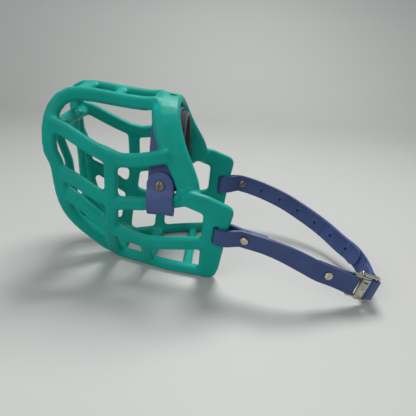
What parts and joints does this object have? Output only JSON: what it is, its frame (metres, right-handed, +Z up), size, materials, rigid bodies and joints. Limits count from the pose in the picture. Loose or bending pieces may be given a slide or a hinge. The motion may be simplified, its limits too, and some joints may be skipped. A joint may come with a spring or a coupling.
{
  "type": "basket muzzle",
  "caption": "Moulded rubber basket muzzle for a large dog with a padded noseband and a neck strap joined by a quick clip.",
  "frame": {"origin": "on the floor, under the middle of the basket's middle floor rung", "axes": "-X towards the nose end of the basket, +Y the dog's right-hand side, +Z up"},
  "size_m": [0.3268, 0.1582, 0.1818],
  "materials": {
    "basket_rubber": "satin moulded rubber",
    "strap_webbing": "coated webbing with a soft sheen",
    "pad_foam": "matt foam",
    "nickel": "nickel plate"
  },
  "bodies": {
    "basket": {"basket": "basket_rubber"},
    "noseband": {"noseband_strap": "strap_webbing", "foam_pad": "pad_foam", "noseband_left_rivet_cap": "nickel", "noseband_left_rivet_post": "nickel", "noseband_right_rivet_cap": "nickel", "noseband_right_rivet_post": "nickel"},
    "left_strap": {"left_neck_strap": "strap_webbing", "left_slot_rivet_cap": "nickel", "left_slot_rivet_post": "nickel", "left_clip_rivet_cap": "nickel", "left_clip_rivet_post": "nickel"},
    "right_strap": {"right_neck_strap": "strap_webbing", "right_slot_screw_cap": "nickel", "right_slot_screw_post": "nickel", "right_clip_rivet_cap": "nickel", "right_clip_rivet_post": "nickel"},
    "clip": {"clip_frame": "nickel", "clip_keeper": "nickel", "lever_pin": "nickel", "lever_spring": "nickel"},
    "lever": {"clip_lever": "nickel"}
  },
  "joints": [
    {"name": "noseband_slide", "type": "slide", "parent": "basket", "child": "noseband", "axis": [1, 0, 0], "range_m": [-0.0015, 0]},
    {"name": "left_strap_swing", "type": "hinge", "parent": "basket", "child": "left_strap", "pos_m": [0.078, -0.0614, 0.059], "axis": [0, 0, 1], "range_deg": [-3, 3]},
    {"name": "right_strap_swing", "type": "hinge", "parent": "basket", "child": "right_strap", "pos_m": [0.078, 0.0614, 0.059], "axis": [0, 0, 1], "range_deg": [-0.7, 0.7]},
    {"name": "clip_swing", "type": "hinge", "parent": "left_strap", "child": "clip", "pos_m": [0.2025, -0.08, 0.0248], "axis": [0.2996, 0.0999, 0.9488], "range_deg": [-17, 17]},
    {"name": "lever_turn", "type": "hinge", "parent": "clip", "child": "lever", "pos_m": [0.21461, -0.07868, 0.02083], "axis": [0.2996, 0.0999, 0.9488], "range_deg": [0, 28], "stiffness_Nm_per_rad": 0.001}
  ],
  "couplings": [
    {"joint": "right_strap_swing", "follows": "left_strap_swing", "ratio": 0.2309},
    {"joint": "clip_swing", "follows": "left_strap_swing", "ratio": -5.1395}
  ]
}
